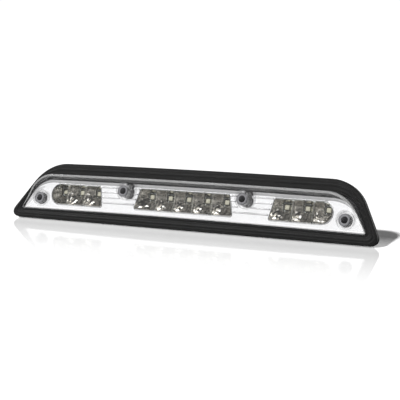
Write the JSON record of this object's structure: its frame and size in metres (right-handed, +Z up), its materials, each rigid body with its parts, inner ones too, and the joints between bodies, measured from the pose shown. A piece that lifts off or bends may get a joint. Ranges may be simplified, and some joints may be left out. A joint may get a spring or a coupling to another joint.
{
  "type": "third brake light",
  "caption": "Long low cab lamp: clear lens over a chrome panel with cupped brake and cargo LEDs, in a black rubber surround.",
  "frame": {"origin": "on the rear face of the rubber surround, at the middle of its top bar, where the lamp meets the cab", "axes": "+X along the lamp to the right as seen from its front, +Y from the lens into the cab, +Z up; the lens face leans back 17.1 degrees and the mounting face 25.6 degrees"},
  "size_m": [0.3648, 0.0493, 0.0512],
  "materials": {
    "clear_plastic": "clear polycarbonate, polished",
    "black_rubber": "satin moulded rubber",
    "grey_sealant": "matt sealant bead",
    "black_plastic": "fine moulded texture",
    "bright_chrome": "vacuum-metallised plastic",
    "white_board": "solder mask",
    "led_package": "phosphor under a clear dome",
    "chip_plastic": "moulded epoxy",
    "resistor_ceramic": "thick film",
    "zinc_steel": "zinc plated",
    "tinned_brass": "tin plated",
    "red_wire": "wire insulation"
  },
  "bodies": {
    "root": {"ballast_resistor_left": "resistor_ceramic", "ballast_resistor_right": "resistor_ceramic", "brake_board": "white_board", "brake_board_screw_1": "zinc_steel", "brake_board_screw_2": "zinc_steel", "brake_driver": "chip_plastic", "brake_led_1": "led_package", "brake_led_2": "led_package", "brake_led_3": "led_package", "brake_led_4": "led_package", "brake_led_5": "led_package", "brake_reflector": "bright_chrome", "breather_cap": "black_plastic", "bush_end_left": "zinc_steel", "bush_end_right": "zinc_steel", "bush_mid_left": "zinc_steel", "bush_mid_right": "zinc_steel", "cargo_board_left": "white_board", "cargo_board_right": "white_board", "cargo_board_screw_left_1": "zinc_steel", "cargo_board_screw_left_2": "zinc_steel", "cargo_board_screw_right_1": "zinc_steel", "cargo_board_screw_right_2": "zinc_steel", "cargo_led_left_1": "led_package", "cargo_led_left_2": "led_package", "cargo_led_left_3": "led_package", "cargo_led_right_1": "led_package", "cargo_led_right_2": "led_package", "cargo_led_right_3": "led_package", "cargo_reflector_left": "bright_chrome", "cargo_reflector_right": "bright_chrome", "connector_socket": "black_plastic", "jumper_lead_left": "red_wire", "jumper_lead_right": "red_wire", "lens_seal": "grey_sealant", "outer_lens": "clear_plastic", "perimeter_gasket": "black_rubber", "polarity_diode": "chip_plastic", "rear_housing": "black_plastic", "reflector_panel": "bright_chrome", "supply_lead": "red_wire", "terminal_pin_1": "tinned_brass", "terminal_pin_2": "tinned_brass", "terminal_pin_3": "tinned_brass"}
  },
  "joints": []
}
